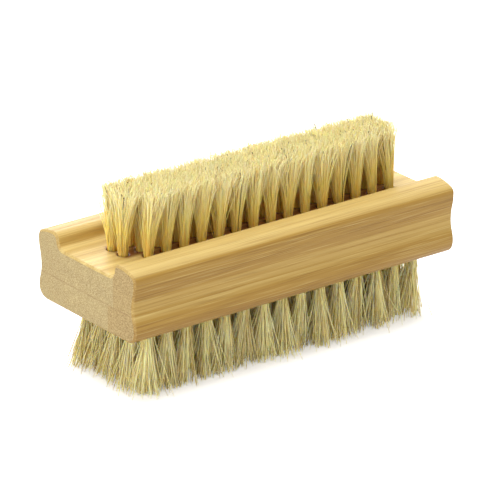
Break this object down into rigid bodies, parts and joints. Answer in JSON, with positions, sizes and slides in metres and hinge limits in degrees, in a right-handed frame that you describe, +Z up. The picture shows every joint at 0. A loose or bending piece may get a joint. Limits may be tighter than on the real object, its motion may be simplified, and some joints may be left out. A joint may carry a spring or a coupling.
{
  "type": "nail brush",
  "caption": "Double-sided nail brush: a laminated bamboo block with waisted flanks and a channelled top, set with natural bristle tufts on both faces.",
  "frame": {"origin": "under the middle of the block, on the surface that the tips of the lower bristles stand on", "axes": "+X along the block, +Y from the front flank to the back flank, +Z up through the channelled top"},
  "size_m": [0.095, 0.0388, 0.0468],
  "materials": {
    "bamboo": "satin",
    "bristle": "matte",
    "anchor_wire": "satin"
  },
  "bodies": {
    "root": {"upper_front_rail": "bamboo", "upper_center_strip": "bamboo", "upper_back_rail": "bamboo", "lower_front_strip": "bamboo", "lower_center_strip": "bamboo", "lower_back_strip": "bamboo", "upper_front_tufts": "bristle", "upper_middle_tufts": "bristle", "upper_back_tufts": "bristle", "lower_front_tufts": "bristle", "lower_inner_front_tufts": "bristle", "lower_middle_tufts": "bristle", "lower_inner_back_tufts": "bristle", "lower_back_tufts": "bristle", "upper_front_anchors": "anchor_wire", "upper_middle_anchors": "anchor_wire", "upper_back_anchors": "anchor_wire", "lower_front_anchors": "anchor_wire", "lower_inner_front_anchors": "anchor_wire", "lower_middle_anchors": "anchor_wire", "lower_inner_back_anchors": "anchor_wire", "lower_back_anchors": "anchor_wire"}
  },
  "joints": []
}
